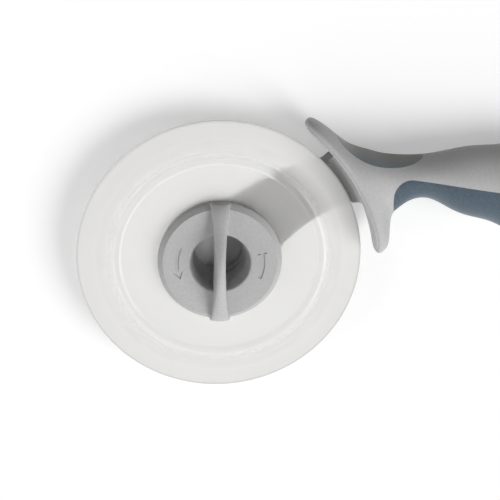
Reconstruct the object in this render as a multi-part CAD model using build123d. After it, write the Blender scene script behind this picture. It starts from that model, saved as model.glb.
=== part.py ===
"""Pizza cutter with a take-off wheel, lying on its back.

Millimetres. The hub axis is +Z, the handle runs along +X, the thumb side is +Y.
The origin is on the hub axis, on the plane that the boss and the handle rest on.
"""
import os
from math import copysign, cos, isclose, pi, radians, sin

from build123d import *

# Wheel
disc_radius = 50.8
disc_hub_thickness = 3.0
disc_hub_radius = 20.2
disc_web_thickness = 2.0
disc_edge_thickness = 0.5
disc_bead_radius = 36.6
disc_bead_width = 1.6
disc_bead_height = 0.25
disc_bevel_radius = 40.2
disc_bevel_thickness = 1.7

# Boss, collar and bush
boss_radius = 18.9
boss_height = 9.0
boss_back_wall = 4.2
peg_hole_radius = 8.6
collar_radius = 15.4
bush_wall = 2.2
running_fit = 0.05
axial_play = 0.1
washer_thickness = 0.5
washer_radius = 18.3

# Locking knob
knob_radius = 22.1
knob_face_height = 3.1
knob_edge_drop = 1.7
knob_edge_width = 1.8
knob_edge_round = 1.3
knob_mouth_radius = 10.8
knob_throat_radius = 9.5
knob_tail_radius = 8.8
knob_flare_depth = 5.0
knob_mouth_round = 0.8
knob_tube_radius = 11.55
knob_tube_end_gap = 0.7
bar_end_width = 7.9
bar_waist_width = 4.2
bar_rise = 9.2
bar_end_rise = 1.1
bar_arch_sharpness = 1.5
bar_draft = 0.6
bar_crown = 1.0
bar_round = 0.7
bar_section_shares = (-1.0, -0.7, -0.35, 0.0, 0.35, 0.7, 1.0)
arrow_radius = 15.3
arrow_width = 1.3
arrow_head_width = 3.6
arrow_sweep = 46.0
arrow_head_sweep = 11.0
arrow_depth = 0.35

# Bayonet between the knob's tube and the boss
bore_clearance = 0.35
lug_reach = 1.5
lug_thickness = 1.8
lug_width = 34.0
lug_height = 0.5
lug_root = 0.6
lug_clearance = 0.25
lug_side_clearance = 1.5
lug_count = 2
screw_lead = 6.0
knob_turn = 90.0

# Friction ring on the knob's tube
ring_section_radius = 0.8
ring_height_above_boss = 1.6
ring_slack = 0.03

# Arm
arm_round = 1.6
arm_root_round = 9.0
arm_upper_root_angle = 80.0
arm_lower_root_angle = -6.0
arm_upper_bow_shares = (0.360, 0.542)
arm_upper_end_shares = (0.722, 0.672)
arm_lower_bow_shares = (0.582, 0.202)
arm_flare_shares = (0.797, 0.740)
arm_tail_shares = (0.870, 0.760)
arm_lower_end_shares = (1.053, 0.409)
arm_fillet_reach = 3.0
arm_fillet_rise = 3.4
arm_fillet_bend_share = 0.3
root_match_share = 1e-6

# Guard face, which wraps round the wheel
guard_gap = 3.4
guard_lean = 2.6
guard_face_radius = 80.0
guard_turn = 24.0
guard_rim_round = 1.2

# Handle: its start and rise go with the guard, as shares of the guard's radius
handle_start_share = 0.8
handle_rise_share = 0.5646
handle_length = 132.64
handle_height = 31.6
handle_thickness = 26.0
butt_round = 3.0
hang_hole_radius = 4.5
hang_hole_setback = 11.0
section_corners = 16
# Each section: place along the length, rise, height and thickness as shares, then its turn in degrees
# and how far its oval is rounded: 1 for an ellipse, less for a fuller one
handle_section_shares = (
    (-0.0232, 0.834, 1.759, 0.950, 27.3, 0.64),
    (-0.0031, 0.879, 1.759, 0.955, 27.3, 0.64),
    (0.0218, 0.883, 1.633, 0.945, 27.3, 0.66),
    (0.0494, 0.867, 1.361, 0.900, 27.3, 0.70),
    (0.0709, 0.900, 1.019, 0.825, 26.5, 0.76),
    (0.0923, 0.945, 0.792, 0.755, 23.5, 0.84),
    (0.1254, 0.954, 0.626, 0.708, 15.0, 0.92),
    (0.1631, 0.987, 0.513, 0.692, 8.0, 0.98),
    (0.2121, 1.008, 0.478, 0.692, 1.0, 1.00),
    (0.2762, 0.984, 0.633, 0.760, -5.0, 1.00),
    (0.3517, 0.941, 0.811, 0.846, -7.0, 1.00),
    (0.4270, 0.905, 0.945, 0.923, -6.0, 1.00),
    (0.5175, 0.873, 1.025, 0.975, -4.5, 1.00),
    (0.6230, 0.843, 1.013, 0.990, -3.0, 1.00),
    (0.7436, 0.814, 0.905, 0.975, -2.0, 1.00),
    (0.8567, 0.791, 0.764, 0.910, -1.0, 1.00),
    (0.9396, 0.787, 0.620, 0.785, 0.0, 1.00),
    (1.0000, 0.787, 0.420, 0.540, 0.0, 1.00),
)

# Soft grips set flush into the handle: corners as shares of its length, and of its height from its middle line
grip_depth = 1.6
middle_line_share = 0.93
thumb_pad_start_shares = (-0.0480, 0.714)
thumb_pad_bow_shares = (0.0840, 0.254)
thumb_pad_end_shares = (0.2190, 0.343)
lower_grip_corner_round = 6.0
lower_grip_shares = (
    (0.1375, -0.513),
    (0.1224, -0.141),
    (0.1229, 0.143),
    (0.4044, -0.017),
    (0.8190, -0.122),
    (0.8275, -0.610),
)

# Overrun of every cutting tool past the face that it cuts
overrun = 4.0

# Heights along the hub axis
washer_play = 2 * running_fit
rear_washer_top = boss_height + washer_thickness
disc_back = rear_washer_top + axial_play
disc_front = disc_back + disc_hub_thickness
disc_middle = (disc_back + disc_front) / 2
collar_top = disc_front + axial_play
front_washer_base = collar_top + running_fit
front_washer_top = front_washer_base + washer_thickness
knob_base = front_washer_top + running_fit
knob_face = knob_base + knob_face_height
tube_end = boss_back_wall + knob_tube_end_gap
lug_base = tube_end + lug_height
handle_middle = handle_thickness / 2

# Radii and places that follow from the fits
boss_bore_radius = knob_tube_radius + bore_clearance
lug_radius = knob_tube_radius + lug_reach
track_radius = lug_radius + bore_clearance
bush_inner_radius = collar_radius + running_fit
bush_outer_radius = bush_inner_radius + bush_wall
guard_radius = disc_radius + guard_gap
handle_start = guard_radius * handle_start_share
handle_end = handle_start + handle_length
handle_rise = guard_radius * handle_rise_share

FULL_TURN = 360.0


def tube_between(inner, outer, base, top):
    """Return a plain ring about the hub axis."""
    height = top - base
    ring = Cylinder(outer, height) - Cylinder(inner, height + overrun)
    return Pos(0, 0, (base + top) / 2) * ring


def disc_at(radius, base, top):
    """Return a plain round about the hub axis."""
    return Pos(0, 0, (base + top) / 2) * Cylinder(radius, top - base)


def sector(inner, outer, start, sweep):
    """Return a flat slice of a ring, from the angle start through sweep."""
    middle = start + sweep / 2
    stop = start + sweep

    def at(radius, angle):
        return (radius * cos(radians(angle)), radius * sin(radians(angle)))

    outline = [
        ThreePointArc(at(outer, start), at(outer, middle), at(outer, stop)),
        Line(at(outer, stop), at(inner, stop)),
        ThreePointArc(at(inner, stop), at(inner, middle), at(inner, start)),
        Line(at(inner, start), at(outer, start)),
    ]
    return make_face(outline)


def sector_block(inner, outer, start, sweep, base, top):
    """Return a slice of a ring with upright ends."""
    return extrude(Pos(0, 0, base) * sector(inner, outer, start, sweep), top - base)


def helix_band(inner, outer, start, turn, base, thickness):
    """Return a screw-shaped band: a ring slice whose floor climbs with the angle.

    The floor is at the height base at the angle zero and climbs by one lead a turn.
    """
    path = Helix(pitch=screw_lead, height=screw_lead * turn / FULL_TURN, radius=(inner + outer) / 2)
    mouth = Plane(origin=path @ 0, x_dir=(1, 0, 0), z_dir=path % 0)
    section = mouth * Rectangle(outer - inner, thickness)
    band = sweep(section, path=path, is_frenet=True)
    floor = base + screw_lead * start / FULL_TURN
    return Pos(0, 0, floor + thickness / 2) * Rot(0, 0, start) * band


def revolved(points):
    """Return the solid that an outline of radius and height pairs sweeps about the hub axis."""
    outline = Polyline(*[(radius, 0, height) for radius, height in points], close=True)
    return revolve(make_face(outline), Axis.Z)


def lugs(inner, outer, start, turn, base, thickness):
    """Return the screw bands of every lug."""
    one = helix_band(inner, outer, start, turn, base, thickness)
    bands = Part()
    for index in range(lug_count):
        bands += Rot(0, 0, index * FULL_TURN / lug_count) * one
    return bands


def bayonet_tracks():
    """Return the room that the lugs need: their screw path and the way out at its end."""
    reach = lug_width / 2 + lug_side_clearance
    tracks = lugs(knob_tail_radius, track_radius, -reach, knob_turn + 2 * reach,
                  lug_base - lug_clearance, lug_thickness + 2 * lug_clearance)
    lift = screw_lead * (knob_turn - reach) / FULL_TURN
    for index in range(lug_count):
        way_out = sector_block(knob_tail_radius, track_radius, knob_turn - reach, 2 * reach,
                               lug_base + lift, collar_top + overrun)
        tracks += Rot(0, 0, index * FULL_TURN / lug_count) * way_out
    return tracks


def handle_section(shares, inset):
    """Return one oval section of the handle, drawn in by inset."""
    place_share, rise_share, height_share, thickness_share, turn, roundness = shares
    half_height = handle_height * height_share / 2 - inset
    half_thickness = handle_thickness * thickness_share / 2 - inset
    centre = (handle_start + handle_length * place_share, handle_rise * rise_share, handle_middle)
    along = (cos(radians(turn)), sin(radians(turn)), 0)
    across = (-sin(radians(turn)), cos(radians(turn)), 0)
    plane = Plane(origin=centre, x_dir=across, z_dir=along)

    def eased(value):
        return copysign(abs(value) ** roundness, value)

    ring = []
    for index in range(section_corners):
        angle = 2 * pi * index / section_corners
        ring.append((half_height * eased(cos(angle)), half_thickness * eased(sin(angle))))
    return plane * make_face(Spline(*ring, periodic=True))


def handle_form(inset=0.0):
    """Return the smooth form from the guard to the butt."""
    form = loft([handle_section(shares, inset) for shares in handle_section_shares])
    return fillet(form.edges().group_by(Axis.X)[-1], butt_round)


def about_guard_axis(outline):
    """Return the solid that an outline sweeps about the axis of the guard face."""
    back = guard_radius - guard_face_radius
    place = Pos(back * cos(radians(guard_turn)), back * sin(radians(guard_turn)), 0)
    return place * revolve(make_face(outline), Axis.Z)


def wheel_clearance():
    """Return the room in front of the guard face, which leans back away from its middle."""
    far = guard_face_radius + guard_lean
    roof = handle_thickness + overrun
    outline = [
        Line((0, 0, -overrun), (far, 0, -overrun)),
        ThreePointArc((far, 0, -overrun), (guard_face_radius, 0, handle_middle), (far, 0, roof)),
        Line((far, 0, roof), (0, 0, roof)),
        Line((0, 0, roof), (0, 0, -overrun)),
    ]
    return about_guard_axis(outline)


def arm_outline():
    """Return the plan of the arm, from the boss into the guard."""
    def scaled(shares):
        return (disc_radius * shares[0], disc_radius * shares[1])

    def on_boss(angle):
        return (boss_radius * cos(radians(angle)), boss_radius * sin(radians(angle)))

    upper_root = on_boss(arm_upper_root_angle)
    lower_root = on_boss(arm_lower_root_angle)
    upper_end = scaled(arm_upper_end_shares)
    flare = scaled(arm_flare_shares)
    tail = scaled(arm_tail_shares)
    lower_end = scaled(arm_lower_end_shares)
    outline = [
        Line((0, 0), upper_root),
        ThreePointArc(upper_root, scaled(arm_upper_bow_shares), upper_end),
        Line(upper_end, flare),
        Line(flare, tail),
        Line(tail, lower_end),
        ThreePointArc(lower_end, scaled(arm_lower_bow_shares), lower_root),
        Line(lower_root, (0, 0)),
    ]
    return make_face(outline)


def arm_plate():
    """Return the boss and the arm as one plate with rounded edges."""
    plan = arm_outline() + Circle(boss_radius)
    roots = [
        corner for corner in plan.vertices()
        if isclose(corner.center().length, boss_radius, rel_tol=root_match_share)
    ]
    plate = extrude(fillet(roots, arm_root_round), boss_height)
    rims = plate.edges().filter_by_position(Axis.Z, 0, 0) + plate.edges().filter_by_position(
        Axis.Z, boss_height, boss_height)
    return fillet(rims, arm_round)


def arm_fillet():
    """Return the hollow curve that carries the arm up into the guard face."""
    inner = guard_face_radius - arm_fillet_reach
    outer = guard_face_radius + guard_lean
    floor = boss_height - arm_round
    top = boss_height + arm_fillet_rise
    bend = (guard_face_radius - arm_fillet_reach * arm_fillet_bend_share, 0,
            boss_height + arm_fillet_rise * arm_fillet_bend_share)
    outline = [
        ThreePointArc((inner, 0, boss_height), bend, (guard_face_radius, 0, top)),
        Line((guard_face_radius, 0, top), (outer, 0, top)),
        Line((outer, 0, top), (outer, 0, floor)),
        Line((outer, 0, floor), (inner, 0, floor)),
        Line((inner, 0, floor), (inner, 0, boss_height)),
    ]
    return about_guard_axis(outline) & extrude(arm_outline(), top)


def hang_hole():
    """Return the tool that opens the hole in the butt."""
    butt_rise = handle_rise * handle_section_shares[-1][1]
    place = Pos(handle_end - hang_hole_setback, butt_rise, handle_middle)
    return place * Cylinder(hang_hole_radius, handle_thickness + overrun)


def thumb_pad_region():
    """Return the space above the thumb pad's lower edge, through the whole thickness."""
    start = grip_point(thumb_pad_start_shares)
    bow = grip_point(thumb_pad_bow_shares)
    end = grip_point(thumb_pad_end_shares)
    above = (end[0], start[1] + overrun)
    outline = [
        ThreePointArc(start, bow, end),
        Line(end, above),
        Line(above, (start[0], start[1] + overrun)),
        Line((start[0], start[1] + overrun), start),
    ]
    return through_handle(make_face(outline))


def through_handle(plan):
    """Return a plan's space through the whole thickness of the handle."""
    return Pos(0, 0, -overrun) * extrude(plan, handle_thickness + 2 * overrun)


def grip_point(shares):
    """Return a point of a grip's edge in plan."""
    middle_line = handle_rise * middle_line_share
    return (handle_start + handle_length * shares[0], middle_line + handle_height * shares[1])


def lower_grip_region():
    """Return the space below the lower grip's upper edge, through the whole thickness."""
    corners = [grip_point(shares) for shares in lower_grip_shares]
    foot_right = (corners[-1][0], -overrun)
    foot_left = (corners[0][0], -overrun)
    outline = FilletPolyline(
        foot_left, corners[0], corners[1], corners[2], corners[3], corners[4], corners[5], foot_right,
        radius=[lower_grip_corner_round] * len(corners))
    return through_handle(make_face([*outline.edges(), Line(foot_right, foot_left)]))


def soft_shell():
    """Return the handle's outer skin, as deep as the soft grips are set in."""
    return handle_form() - handle_form(grip_depth)


def thumb_pad():
    """Return the soft pad on the thumb side."""
    return soft_shell() & thumb_pad_region() - wheel_clearance()


def lower_grip():
    """Return the soft grip under the fingers."""
    return soft_shell() & lower_grip_region() - wheel_clearance()


def guarded_handle():
    """Return the handle with the guard face cut and its rim rounded."""
    form = handle_form() - wheel_clearance()
    face = form.faces().filter_by(GeomType.TORUS)[0]
    return fillet(face.edges(), guard_rim_round)


def handle_frame():
    """Return the hard moulding: boss, arm, guard and the core of the handle."""
    body = guarded_handle()
    body += arm_plate() + arm_fillet()
    body += disc_at(collar_radius, boss_height, collar_top)
    body -= disc_at(peg_hole_radius, -overrun, boss_height)
    body -= disc_at(boss_bore_radius, boss_back_wall, collar_top + overrun)
    body -= bayonet_tracks()
    body -= hang_hole()
    return body - thumb_pad() - lower_grip()


def blade_disc():
    """Return the wheel: a thick middle, a thin web, a raised bead and a tapered edge."""
    profile = [
        (bush_outer_radius, disc_hub_thickness / 2),
        (disc_hub_radius, disc_hub_thickness / 2),
        (disc_hub_radius + disc_hub_thickness / 2, disc_web_thickness / 2),
        (disc_bead_radius - disc_bead_width, disc_web_thickness / 2),
        (disc_bead_radius - disc_bead_width / 2, disc_web_thickness / 2 + disc_bead_height),
        (disc_bead_radius + disc_bead_width / 2, disc_web_thickness / 2 + disc_bead_height),
        (disc_bead_radius + disc_bead_width, disc_web_thickness / 2),
        (disc_bevel_radius, disc_bevel_thickness / 2),
        (disc_radius, disc_edge_thickness / 2),
    ]
    front = [(radius, disc_middle + half) for radius, half in profile]
    back = [(radius, disc_middle - half) for radius, half in reversed(profile)]
    return revolved(front + back)


def hub_bush():
    """Return the bush that is pressed into the wheel and turns on the collar."""
    return tube_between(bush_inner_radius, bush_outer_radius, disc_back, disc_front)


def rear_washer():
    """Return the washer between the boss and the wheel."""
    return tube_between(bush_inner_radius, washer_radius, boss_height, rear_washer_top)


def front_washer():
    """Return the washer that the knob carries down onto the collar."""
    return tube_between(knob_tube_radius + washer_play, washer_radius, front_washer_base, front_washer_top)


def friction_ring(swell=0.0):
    """Return the rubber ring on the knob's tube."""
    radius = boss_bore_radius - ring_slack - ring_section_radius
    height = boss_height + ring_height_above_boss
    return Pos(0, 0, height) * Torus(radius, ring_section_radius + swell)


def bar_section(place):
    """Return the bar's crowned section, place being its share of the way out from the middle."""
    half = (bar_waist_width + (bar_end_width - bar_waist_width) * place * place) / 2
    fall = (bar_rise - bar_end_rise) * abs(place) ** bar_arch_sharpness
    top = knob_face + bar_rise - fall - knob_base
    narrow = half - bar_draft
    outline = [
        Line((-half, 0), (-narrow, top - bar_crown)),
        ThreePointArc((-narrow, top - bar_crown), (0, top), (narrow, top - bar_crown)),
        Line((narrow, top - bar_crown), (half, 0)),
        Line((half, 0), (-half, 0)),
    ]
    section = make_face(outline)
    corners = [corner for corner in section.vertices() if corner.Y > 0]
    plane = Plane(origin=(0, knob_radius * place, knob_base), x_dir=(1, 0, 0), z_dir=(0, -1, 0))
    return plane * fillet(corners, bar_round)


def knob_bar():
    """Return the waisted, arched and crowned bar across the knob's mouth."""
    return loft([bar_section(place) for place in bar_section_shares])


def turn_arrow():
    """Return one curved arrow, sunk into the knob's face."""
    sweep = arrow_sweep - arrow_head_sweep
    base = knob_face - arrow_depth
    half = arrow_width / 2
    shaft = sector_block(arrow_radius - half, arrow_radius + half, -arrow_sweep / 2, sweep,
                         base, knob_face + overrun)
    neck = sweep - arrow_sweep / 2
    tip = arrow_sweep / 2

    def at(radius, angle):
        return (radius * cos(radians(angle)), radius * sin(radians(angle)))

    head = make_face(Polyline(
        at(arrow_radius - arrow_head_width / 2, neck),
        at(arrow_radius + arrow_head_width / 2, neck),
        at(arrow_radius, tip),
        close=True))
    return shaft + extrude(Pos(0, 0, base) * head, arrow_depth + overrun)


def locking_knob():
    """Return the knob: cap, bar, tube and bayonet lugs in one moulding."""
    body_profile = [
        (knob_tail_radius, tube_end),
        (knob_tube_radius, tube_end),
        (knob_tube_radius, knob_base),
        (knob_radius, knob_base),
        (knob_radius, knob_face - knob_edge_drop),
        (knob_radius - knob_edge_width, knob_face),
        (knob_mouth_radius, knob_face),
        (knob_throat_radius, knob_face - knob_flare_depth),
    ]
    cap = revolved(body_profile)
    rims = cap.edges().filter_by(GeomType.CIRCLE).filter_by_position(Axis.Z, knob_base, knob_face)
    edge = rims.sort_by(SortBy.RADIUS)[-2:].sort_by(Axis.Z)[-1]
    cap = fillet(edge, knob_edge_round)
    mouth = cap.edges().filter_by(GeomType.CIRCLE).sort_by(Axis.Z)[-2:].sort_by(SortBy.RADIUS)[0]
    cap = fillet(mouth, knob_mouth_round)
    knob = cap + knob_bar()
    knob += lugs(knob_tail_radius + lug_root, lug_radius, -lug_width / 2, lug_width, lug_base, lug_thickness)
    knob -= turn_arrow()
    knob -= Rot(0, 0, FULL_TURN / 2) * turn_arrow()
    return knob - friction_ring(ring_slack)


def write_parts():
    """Write every piece to its own file."""
    os.makedirs("parts", exist_ok=True)
    pieces = {
        "handle_frame": handle_frame(),
        "thumb_pad": thumb_pad(),
        "lower_grip": lower_grip(),
        "blade_disc": blade_disc(),
        "hub_bush": hub_bush(),
        "rear_washer": rear_washer(),
        "front_washer": front_washer(),
        "locking_knob": locking_knob(),
        "friction_ring": friction_ring(),
    }
    for name, piece in pieces.items():
        export_step(piece, f"parts/{name}.step")


write_parts()
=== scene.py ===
"""Looks of the pizza cutter: materials, the lip on its guard, floor, light and camera.

Metres. The frame is that of the model: hub axis +Z, handle along +X, thumb side +Y.
"""

from math import cos, radians, sin, sqrt

import bmesh
import bpy
from mathutils import Euler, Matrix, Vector


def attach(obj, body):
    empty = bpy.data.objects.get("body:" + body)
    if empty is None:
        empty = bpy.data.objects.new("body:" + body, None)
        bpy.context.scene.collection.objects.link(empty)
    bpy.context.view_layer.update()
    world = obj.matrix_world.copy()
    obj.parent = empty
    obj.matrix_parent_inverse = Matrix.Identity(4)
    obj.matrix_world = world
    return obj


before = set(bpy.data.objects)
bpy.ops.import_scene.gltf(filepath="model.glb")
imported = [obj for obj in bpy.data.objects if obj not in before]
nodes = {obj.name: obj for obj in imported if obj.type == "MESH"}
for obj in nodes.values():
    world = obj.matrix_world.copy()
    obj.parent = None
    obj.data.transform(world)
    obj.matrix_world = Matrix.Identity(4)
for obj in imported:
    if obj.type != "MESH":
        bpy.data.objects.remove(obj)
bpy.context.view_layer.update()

HANDLE_MIDDLE = 0.013


# Materials

# The span that most values of a noise pattern lie in
NOISE_LOW = 0.3
NOISE_HIGH = 0.7

NYLON_DARK = (0.455, 0.455, 0.455)
NYLON_LIGHT = (0.535, 0.535, 0.535)
NYLON_GRAIN_DEPTH = 0.00006
GRIP_DARK = (0.042, 0.072, 0.098)
GRIP_LIGHT = (0.085, 0.122, 0.160)
PAD_DARK = (0.085, 0.135, 0.165)
PAD_LIGHT = (0.135, 0.19, 0.22)
# Painted sheen: the pad goes over to this paler colour along the middle of the handle's thickness
PAD_PAINTED_SHEEN = (0.25, 0.25, 0.235)
PAD_SHEEN_NEAR = 0.003
PAD_SHEEN_FAR = 0.0095
RUBBER_GRAIN_DEPTH = 0.00005
ACETAL_DARK = (0.66, 0.655, 0.63)
ACETAL_LIGHT = (0.72, 0.715, 0.69)
SILICONE_DARK = (0.03, 0.03, 0.031)
SILICONE_LIGHT = (0.045, 0.045, 0.046)

# Radii on the wheel, from its bead out to its rim
TONES_INNER = 0.034
TONES_OUTER = 0.051
SHEER_OUT_TO = 0.0368
MILKY_FROM = 0.0445
FROSTED_OUT_TO = 0.0386
POLISHED_FROM = 0.0404
WHEEL_TINT = (1.0, 0.994, 0.98)
WHEEL_GRAIN_DEPTH = 0.00003
# Each stop: its radius and how light the wheel is there; the light lines by the bead are painted highlights,
# the band between them and the gray line at the rim painted shade
WHEEL_TONE_AND_PAINTED_LINES = (
    (0.0348, 0.94), (0.0351, 0.98), (0.0355, 0.98), (0.0359, 0.90), (0.0370, 0.90), (0.0373, 0.98),
    (0.0378, 0.98), (0.0383, 0.96), (0.0500, 0.96), (0.0503, 0.82))


def new_material(name):
    """Return a material with its node tree and its surface shader."""
    material = bpy.data.materials.new(name)
    material.use_nodes = True
    tree = material.node_tree
    shader = tree.nodes["Principled BSDF"]
    return material, tree, shader


def object_point(tree):
    """Return the socket that gives a point's place in the frame."""
    return tree.nodes.new("ShaderNodeTexCoord").outputs["Object"]


def noise(tree, point, waves, detail, roughness=0.55):
    """Return the factor of a noise pattern with so many waves a metre."""
    node = tree.nodes.new("ShaderNodeTexNoise")
    node.inputs["Scale"].default_value = waves
    node.inputs["Detail"].default_value = detail
    node.inputs["Roughness"].default_value = roughness
    tree.links.new(point, node.inputs["Vector"])
    return node.outputs["Fac"]


def spread(tree, value, first, last, start=NOISE_LOW, stop=NOISE_HIGH):
    """Return value carried from the span start to stop over to the span first to last."""
    node = tree.nodes.new("ShaderNodeMapRange")
    node.inputs["From Min"].default_value = start
    node.inputs["From Max"].default_value = stop
    node.inputs["To Min"].default_value = first
    node.inputs["To Max"].default_value = last
    tree.links.new(value, node.inputs["Value"])
    return node.outputs["Result"]


def colour_between(tree, pattern, first, second):
    """Return a colour that goes from first to second with a noise pattern."""
    node = tree.nodes.new("ShaderNodeValToRGB")
    node.color_ramp.elements[0].position = NOISE_LOW
    node.color_ramp.elements[0].color = (*first, 1.0)
    node.color_ramp.elements[1].position = NOISE_HIGH
    node.color_ramp.elements[1].color = (*second, 1.0)
    tree.links.new(pattern, node.inputs["Fac"])
    return node.outputs["Color"]


def bump(tree, shader, height, depth, strength):
    """Give the shader a relief of that depth in metres."""
    node = tree.nodes.new("ShaderNodeBump")
    node.inputs["Distance"].default_value = depth
    node.inputs["Strength"].default_value = strength
    tree.links.new(height, node.inputs["Height"])
    tree.links.new(node.outputs["Normal"], shader.inputs["Normal"])


def radius_from_hub(tree, point):
    """Return the distance from the hub axis, in metres."""
    flatten = tree.nodes.new("ShaderNodeVectorMath")
    flatten.operation = "MULTIPLY"
    flatten.inputs[1].default_value = (1.0, 1.0, 0.0)
    tree.links.new(point, flatten.inputs[0])
    length = tree.nodes.new("ShaderNodeVectorMath")
    length.operation = "LENGTH"
    tree.links.new(flatten.outputs["Vector"], length.inputs[0])
    return length.outputs["Value"]


def gray_nylon():
    """Matte gray plastic with the fine grain of an etched mould."""
    material, tree, shader = new_material("gray_nylon")
    point = object_point(tree)
    patches = noise(tree, point, waves=90.0, detail=3.0)
    grain = noise(tree, point, waves=1500.0, detail=3.0, roughness=0.7)
    tree.links.new(colour_between(tree, grain, NYLON_DARK, NYLON_LIGHT), shader.inputs["Base Color"])
    tree.links.new(spread(tree, patches, first=0.46, last=0.56), shader.inputs["Roughness"])
    bump(tree, shader, grain, NYLON_GRAIN_DEPTH, strength=0.5)
    shader.inputs["Specular IOR Level"].default_value = 0.4
    return material


def painted_sheen_middle(tree, point, colour, sheen_paint):
    """Return colour gone over to a painted sheen colour along the middle of the handle's thickness."""
    split = tree.nodes.new("ShaderNodeSeparateXYZ")
    tree.links.new(point, split.inputs["Vector"])
    rise = tree.nodes.new("ShaderNodeMath")
    rise.operation = "SUBTRACT"
    rise.inputs[1].default_value = HANDLE_MIDDLE
    tree.links.new(split.outputs["Z"], rise.inputs[0])
    off_middle = tree.nodes.new("ShaderNodeMath")
    off_middle.operation = "ABSOLUTE"
    tree.links.new(rise.outputs["Value"], off_middle.inputs[0])
    mixed = tree.nodes.new("ShaderNodeMix")
    mixed.data_type = "RGBA"
    tree.links.new(spread(tree, off_middle.outputs["Value"], 1.0, 0.0, PAD_SHEEN_NEAR, PAD_SHEEN_FAR),
                   mixed.inputs["Factor"])
    tree.links.new(colour, mixed.inputs["A"])
    mixed.inputs["B"].default_value = (*sheen_paint, 1.0)
    return mixed.outputs["Result"]


def soft_grip(name, dark, light, sheen_paint=None):
    """Moulded rubber, finely mottled between two colours, and paler along the handle's middle with a painted
    sheen.
    """
    material, tree, shader = new_material(name)
    point = object_point(tree)
    patches = noise(tree, point, waves=160.0, detail=5.0, roughness=0.65)
    grain = noise(tree, point, waves=1300.0, detail=4.0, roughness=0.8)
    colour = colour_between(tree, grain, dark, light)
    # Painted sheen: paler along the middle of the handle's thickness
    if sheen_paint:
        colour = painted_sheen_middle(tree, point, colour, sheen_paint)
    tree.links.new(colour, shader.inputs["Base Color"])
    tree.links.new(spread(tree, patches, first=0.5, last=0.64), shader.inputs["Roughness"])
    bump(tree, shader, grain, RUBBER_GRAIN_DEPTH, strength=0.5)
    shader.inputs["Specular IOR Level"].default_value = 0.35
    shader.inputs["Sheen Weight"].default_value = 0.3
    shader.inputs["Sheen Roughness"].default_value = 0.5
    return material


def wheel_tone_with_painted_lines(tree, radius):
    """Return the wheel's tone with painted light: painted highlight lines on both sides of its bead, painted
    shade between them and a painted shade line at its edge.
    """
    across = spread(tree, radius, 0.0, 1.0, TONES_INNER, TONES_OUTER)
    ramp = tree.nodes.new("ShaderNodeValToRGB")
    tree.links.new(across, ramp.inputs["Fac"])
    stops = ramp.color_ramp.elements
    stops.remove(stops[1])
    for place, tone in WHEEL_TONE_AND_PAINTED_LINES:
        stop = stops.new((place - TONES_INNER) / (TONES_OUTER - TONES_INNER))
        stop.color = (*(tone * share for share in WHEEL_TINT), 1.0)
    stops.remove(stops[0])
    return ramp.outputs["Color"]


def clear_wheel():
    """Clear plastic: frosted from the hub out to the bead, polished but milkier on the bevel."""
    material, tree, shader = new_material("clear_wheel")
    point = object_point(tree)
    radius = radius_from_hub(tree, point)
    grain = noise(tree, point, waves=2200.0, detail=3.0, roughness=0.6)
    # The base colour carries painted highlight lines by the bead and painted shade between them and at the
    # rim
    tree.links.new(wheel_tone_with_painted_lines(tree, radius), shader.inputs["Base Color"])
    shader.inputs["IOR"].default_value = 1.46
    tree.links.new(spread(tree, radius, first=0.75, last=0.28, start=SHEER_OUT_TO, stop=MILKY_FROM),
                   shader.inputs["Transmission Weight"])
    tree.links.new(spread(tree, radius, first=0.38, last=0.10, start=FROSTED_OUT_TO, stop=POLISHED_FROM),
                   shader.inputs["Roughness"])
    bump(tree, shader, grain, WHEEL_GRAIN_DEPTH, strength=0.35)
    return material


def white_acetal():
    """Smooth white bearing plastic."""
    material, tree, shader = new_material("white_acetal")
    point = object_point(tree)
    patches = noise(tree, point, waves=220.0, detail=3.0)
    tree.links.new(colour_between(tree, patches, ACETAL_DARK, ACETAL_LIGHT), shader.inputs["Base Color"])
    tree.links.new(spread(tree, patches, first=0.3, last=0.42), shader.inputs["Roughness"])
    return material


def dark_silicone():
    """Dark soft rubber of the ring."""
    material, tree, shader = new_material("dark_silicone")
    point = object_point(tree)
    patches = noise(tree, point, waves=700.0, detail=4.0)
    tree.links.new(colour_between(tree, patches, SILICONE_DARK, SILICONE_LIGHT), shader.inputs["Base Color"])
    tree.links.new(spread(tree, patches, first=0.45, last=0.6), shader.inputs["Roughness"])
    return material


nylon = gray_nylon()
grip_rubber = soft_grip("grip_rubber", GRIP_DARK, GRIP_LIGHT)
# The pad's rubber carries a painted sheen along the middle of the handle's thickness
pad_rubber = soft_grip("pad_rubber", PAD_DARK, PAD_LIGHT, PAD_PAINTED_SHEEN)
wheel_plastic = clear_wheel()
acetal = white_acetal()
silicone = dark_silicone()
for name, material in {
        "handle_frame": nylon,
        "locking_knob": nylon,
        "thumb_pad": pad_rubber,
        "lower_grip": grip_rubber,
        "blade_disc": wheel_plastic,
        "hub_bush": acetal,
        "rear_washer": acetal,
        "front_washer": acetal,
        "friction_ring": silicone,
}.items():
    nodes[name].data.materials.clear()
    nodes[name].data.materials.append(material)


# Guard

GUARD_FACE_RADIUS = 0.080
GUARD_FACE_BULGE = 0.0569
GUARD_AXIS_BACK = 0.0258
GUARD_TURN = 24.0
LIP_RADIUS = 0.0005
LIP_END_SHARE = 0.35
# The lip's course: each point's angle on the guard's face in degrees, and its height
LIP_COURSE = (
    (11.7, 0.0183), (12.6, 0.0203), (14.5, 0.0219), (17.5, 0.0230), (21.0, 0.0235), (25.0, 0.0236),
    (29.0, 0.0236), (33.0, 0.0234), (37.0, 0.0228), (41.0, 0.0219), (44.5, 0.0206), (47.2, 0.0187),
    (48.6, 0.0170))


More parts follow.
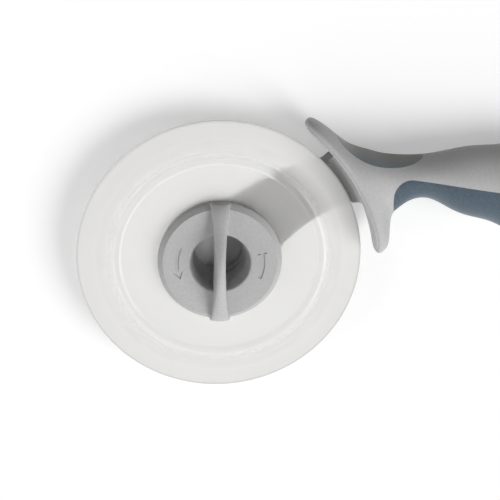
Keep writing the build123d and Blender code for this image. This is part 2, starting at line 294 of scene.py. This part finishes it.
def on_guard_face(angle, height):
    """Return a point of the guard's hollow face, at that angle in degrees about the face's own axis."""
    axis = Vector((cos(radians(GUARD_TURN)), sin(radians(GUARD_TURN)), 0.0)) * -GUARD_AXIS_BACK
    rise = height - HANDLE_MIDDLE
    reach = GUARD_FACE_RADIUS + GUARD_FACE_BULGE - sqrt(GUARD_FACE_BULGE ** 2 - rise ** 2)
    return axis + Vector((reach * cos(radians(angle)), reach * sin(radians(angle)), height))


def guard_lip():
    """Make the thin raised lip just inside the front rim of the guard's face."""
    line = bpy.data.curves.new("guard_lip_line", "CURVE")
    line.dimensions = "3D"
    line.bevel_depth = LIP_RADIUS
    line.bevel_resolution = 4
    line.resolution_u = 8
    line.use_fill_caps = True
    spline = line.splines.new("BEZIER")
    last = len(LIP_COURSE) - 1
    spline.bezier_points.add(last)
    for index, (angle, height) in enumerate(LIP_COURSE):
        point = spline.bezier_points[index]
        point.co = on_guard_face(angle, height)
        point.handle_left_type = "AUTO"
        point.handle_right_type = "AUTO"
        point.radius = LIP_END_SHARE if index in (0, last) else 1.0
    wire = bpy.data.objects.new("guard_lip_line", line)
    mesh = bpy.data.meshes.new_from_object(wire)
    mesh.name = "guard_lip"
    mesh.shade_smooth()
    lip = bpy.data.objects.new("guard_lip", mesh)
    bpy.context.scene.collection.objects.link(lip)
    bpy.data.objects.remove(wire)
    bpy.data.curves.remove(line)
    mesh.materials.clear()
    mesh.materials.append(nylon)
    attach(lip, "handle")


guard_lip()


# Floor

FLOOR_REACH = 3.0
FLOOR_DROP = 0.0003
PAPER = (0.66, 0.66, 0.66, 1.0)
PAPER_IN_BOUNCES = (0.62, 0.62, 0.62, 1.0)
WHITE = (1.0, 1.0, 1.0, 1.0)
PAPER_GLOW = 0.40
# Painted shade: the floor under the hub's open mouth doesn't glow, so the mouth stays dark
GLOW_STARTS = 0.0125
GLOW_FULL = 0.0135


def floor_paper():
    """White paper that glows a little for the camera, and is plain white behind the clear wheel."""
    material = bpy.data.materials.new("floor_paper")
    material.use_nodes = True
    tree = material.node_tree
    tree.nodes.clear()
    out = tree.nodes.new("ShaderNodeOutputMaterial")
    paper = tree.nodes.new("ShaderNodeBsdfDiffuse")
    paper.inputs["Color"].default_value = PAPER
    lift = tree.nodes.new("ShaderNodeEmission")
    lift.inputs["Color"].default_value = WHITE
    from_hub = radius_from_hub(tree, object_point(tree))
    # Painted shade: no glow near the hub axis, under the hub's open mouth
    tree.links.new(spread(tree, from_hub, 0.0, PAPER_GLOW, GLOW_STARTS, GLOW_FULL), lift.inputs["Strength"])
    seen = tree.nodes.new("ShaderNodeAddShader")
    tree.links.new(paper.outputs["BSDF"], seen.inputs[0])
    tree.links.new(lift.outputs["Emission"], seen.inputs[1])
    plain = tree.nodes.new("ShaderNodeBsdfDiffuse")
    plain.inputs["Color"].default_value = PAPER_IN_BOUNCES
    white = tree.nodes.new("ShaderNodeEmission")
    white.inputs["Color"].default_value = WHITE
    white.inputs["Strength"].default_value = 1.0
    rays = tree.nodes.new("ShaderNodeLightPath")
    either = tree.nodes.new("ShaderNodeMath")
    either.operation = "MAXIMUM"
    tree.links.new(rays.outputs["Is Camera Ray"], either.inputs[0])
    tree.links.new(rays.outputs["Is Glossy Ray"], either.inputs[1])
    by_view = tree.nodes.new("ShaderNodeMixShader")
    tree.links.new(either.outputs["Value"], by_view.inputs["Fac"])
    tree.links.new(plain.outputs["BSDF"], by_view.inputs[1])
    tree.links.new(seen.outputs["Shader"], by_view.inputs[2])
    through = tree.nodes.new("ShaderNodeMixShader")
    tree.links.new(rays.outputs["Is Transmission Ray"], through.inputs["Fac"])
    tree.links.new(by_view.outputs["Shader"], through.inputs[1])
    tree.links.new(white.outputs["Emission"], through.inputs[2])
    tree.links.new(through.outputs["Shader"], out.inputs["Surface"])
    return material


def make_floor():
    """Return the pale floor that the cutter lies on."""
    sheet = bmesh.new()
    bmesh.ops.create_grid(sheet, x_segments=1, y_segments=1, size=FLOOR_REACH)
    mesh = bpy.data.meshes.new("floor")
    sheet.to_mesh(mesh)
    sheet.free()
    mesh.materials.append(floor_paper())
    floor = bpy.data.objects.new("floor", mesh)
    bpy.context.scene.collection.objects.link(floor)
    floor.location = (0.0, 0.0, -FLOOR_DROP)
    return floor


make_floor()


# Light

SKY_BRIGHT = 0.92
SKY_DIM = 0.03
DIM_SIDE = (0.35, 0.94, 0.0)
# How far a direction leans to the dim side: the sky is bright up to the first and dim from the second
SKY_BRIGHT_UP_TO = -0.65
SKY_DIM_FROM = 0.25


def make_world():
    """Light the room: bright from below the picture and a little from its left, dim from above it."""
    world = bpy.data.worlds.new("room")
    bpy.context.scene.world = world
    world.use_nodes = True
    tree = world.node_tree
    back = tree.nodes["Background"]
    back.inputs["Color"].default_value = WHITE
    direction = tree.nodes.new("ShaderNodeTexCoord").outputs["Generated"]
    away = tree.nodes.new("ShaderNodeVectorMath")
    away.operation = "DOT_PRODUCT"
    away.inputs[1].default_value = DIM_SIDE
    tree.links.new(direction, away.inputs[0])
    tree.links.new(spread(tree, away.outputs["Value"], SKY_BRIGHT, SKY_DIM, SKY_BRIGHT_UP_TO, SKY_DIM_FROM),
                   back.inputs["Strength"])


def make_sun(name, strength, place, breadth):
    """Light the cutter from far off, from the side of place, with a lamp so many degrees across."""
    data = bpy.data.lights.new(name, "SUN")
    data.energy = strength
    data.angle = radians(breadth)
    lamp = bpy.data.objects.new(name, data)
    bpy.context.scene.collection.objects.link(lamp)
    lamp.location = place
    lamp.rotation_mode = "QUATERNION"
    lamp.rotation_quaternion = Vector(place).to_track_quat("Z", "Y")


make_world()
make_sun("key", strength=2.25, place=(1.0, -0.34, 1.0), breadth=40.0)
make_sun("fill", strength=0.5, place=(-1.0, -0.1, 0.5), breadth=30.0)


# Camera

SENSOR_WIDTH_MM = 36.0
LENS_MM = 90.66
NEAREST_SEEN = 0.01
FARTHEST_SEEN = 20.0
CAMERA_PLACE = (-0.02132, 0.17181, 0.42650)
CAMERA_TURN = (-22.140, -4.108, 0.804)


def make_camera():
    """Set the camera at the photograph's viewing angle."""
    data = bpy.data.cameras.new("camera")
    data.sensor_width = SENSOR_WIDTH_MM
    data.lens = LENS_MM
    data.clip_start = NEAREST_SEEN
    data.clip_end = FARTHEST_SEEN
    camera = bpy.data.objects.new("camera", data)
    bpy.context.scene.collection.objects.link(camera)
    camera.location = CAMERA_PLACE
    camera.rotation_euler = Euler([radians(turn) for turn in CAMERA_TURN])
    bpy.context.scene.camera = camera


make_camera()
bpy.context.scene.view_settings.view_transform = "Standard"

bpy.context.view_layer.update()
